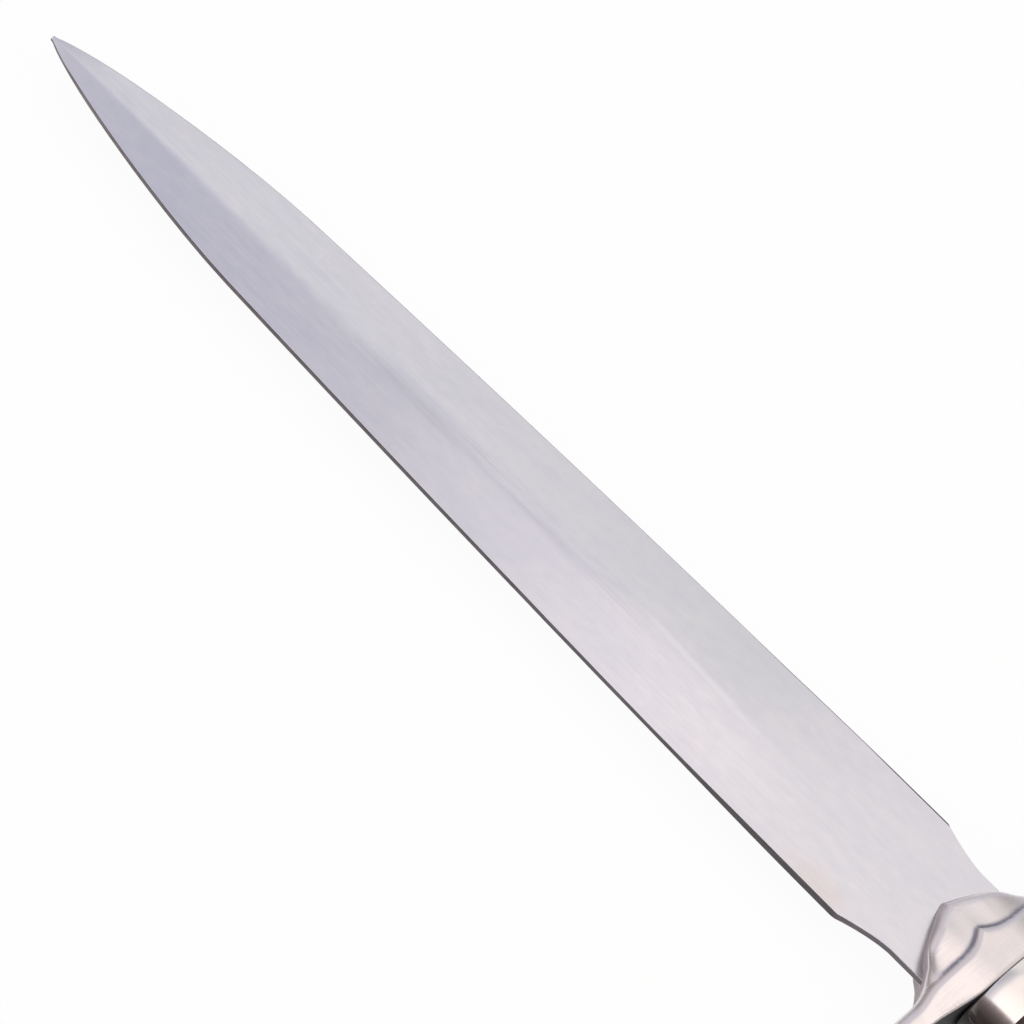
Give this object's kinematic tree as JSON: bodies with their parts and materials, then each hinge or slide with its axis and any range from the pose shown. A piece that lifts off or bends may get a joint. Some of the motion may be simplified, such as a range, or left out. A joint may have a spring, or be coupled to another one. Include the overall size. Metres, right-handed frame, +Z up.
{
  "type": "uncapping knife",
  "caption": "Straight double-edged uncapping knife with a spear point, waisted ricasso, cast V-nosed guard, oval ferrules, dark hardwood grip and steel pommel with a lanyard hole.",
  "frame": {"origin": "under the middle of the knife's box, on the surface that the knife lies on", "axes": "+X along the blade towards its point, +Z up through the flat of the blade, +Y towards one edge"},
  "size_m": [0.3984, 0.068, 0.0156],
  "materials": {
    "satin_steel": "satin, ground lengthwise",
    "cast_steel": "cast and polished by hand",
    "polished_steel": "mirror polished",
    "dark_hardwood": "oiled and waxed",
    "black_fibre": "vulcanised fibre, cut edges",
    "brass": "turned, slightly tarnished",
    "plain_steel": "bright drawn"
  },
  "bodies": {
    "root": {"blade": "satin_steel", "guard": "cast_steel", "guard_gasket": "black_fibre", "front_ferrule": "polished_steel", "front_pins": "plain_steel", "grip": "dark_hardwood", "rear_ferrule": "polished_steel", "rear_pins": "plain_steel", "pommel_spacer": "black_fibre", "pommel": "cast_steel", "lanyard_bush": "brass", "tang_washer": "plain_steel", "tang_nut": "plain_steel"}
  },
  "joints": []
}
